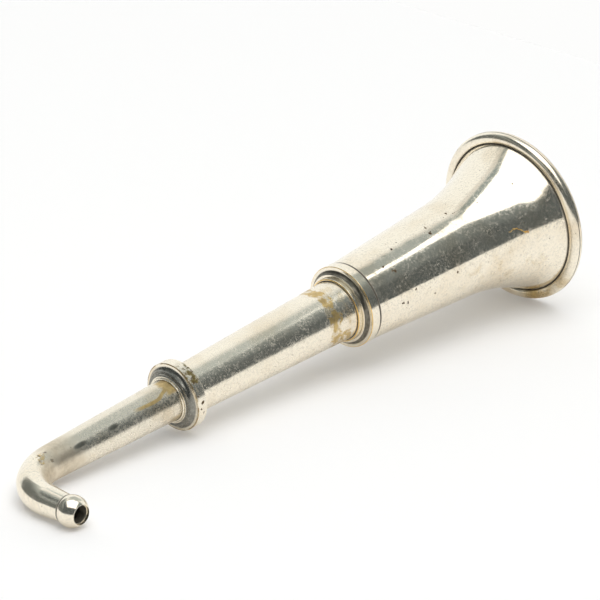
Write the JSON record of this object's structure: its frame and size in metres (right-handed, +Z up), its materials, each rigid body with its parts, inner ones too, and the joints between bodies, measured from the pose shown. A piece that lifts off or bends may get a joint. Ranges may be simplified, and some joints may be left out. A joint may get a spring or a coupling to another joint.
{
  "type": "telescopic ear trumpet",
  "caption": "Telescopic ear trumpet of silver-plated brass: a flared bell, tapered draw tubes that slide and turn in moulded collars, a bent elbow and a ball-shaped ear tip.",
  "frame": {"origin": "on the table, below the centre of the trumpet's box as it lies drawn out", "axes": "+Z up from the table, the trumpet lies along X with its mouth towards +X, the elbow points along -Y"},
  "size_m": [0.2262, 0.0584, 0.0562],
  "materials": {
    "silver_plate": "worn silver plate over brass, polished, with pits and bare brassy patches",
    "bare_brass": "dull bare brass",
    "iron_wire": "drawn iron wire, hidden in the rim's bead"
  },
  "bodies": {
    "bell": {"bell_horn": "silver_plate", "rim_bead": "silver_plate", "rim_wire": "iron_wire", "mouth_ring": "silver_plate", "bell_collar": "silver_plate"},
    "bell_guide": {"middle_sleeve": "silver_plate"},
    "middle_draw": {"middle_tube": "silver_plate", "middle_stop": "bare_brass", "middle_collar": "silver_plate"},
    "middle_guide": {"ear_sleeve": "silver_plate"},
    "ear_draw": {"ear_tube": "silver_plate", "ear_stop": "bare_brass", "ear_elbow": "silver_plate", "ear_tip": "silver_plate"}
  },
  "joints": [
    {"name": "middle_turn", "type": "hinge", "parent": "bell", "child": "bell_guide", "pos_m": [0.03106, 0.00101, 0.01976], "axis": [0.9943, 0, 0.1064], "continuous": true},
    {"name": "middle_slide", "type": "slide", "parent": "bell_guide", "child": "middle_draw", "axis": [0.9943, 0, 0.1064], "range_m": [0, 0.0656]},
    {"name": "ear_turn", "type": "hinge", "parent": "middle_draw", "child": "middle_guide", "pos_m": [-0.04093, 0.00101, 0.01205], "axis": [0.9943, 0, 0.1064], "continuous": true},
    {"name": "ear_slide", "type": "slide", "parent": "middle_guide", "child": "ear_draw", "axis": [0.9943, 0, 0.1064], "range_m": [0, 0.0465]}
  ]
}
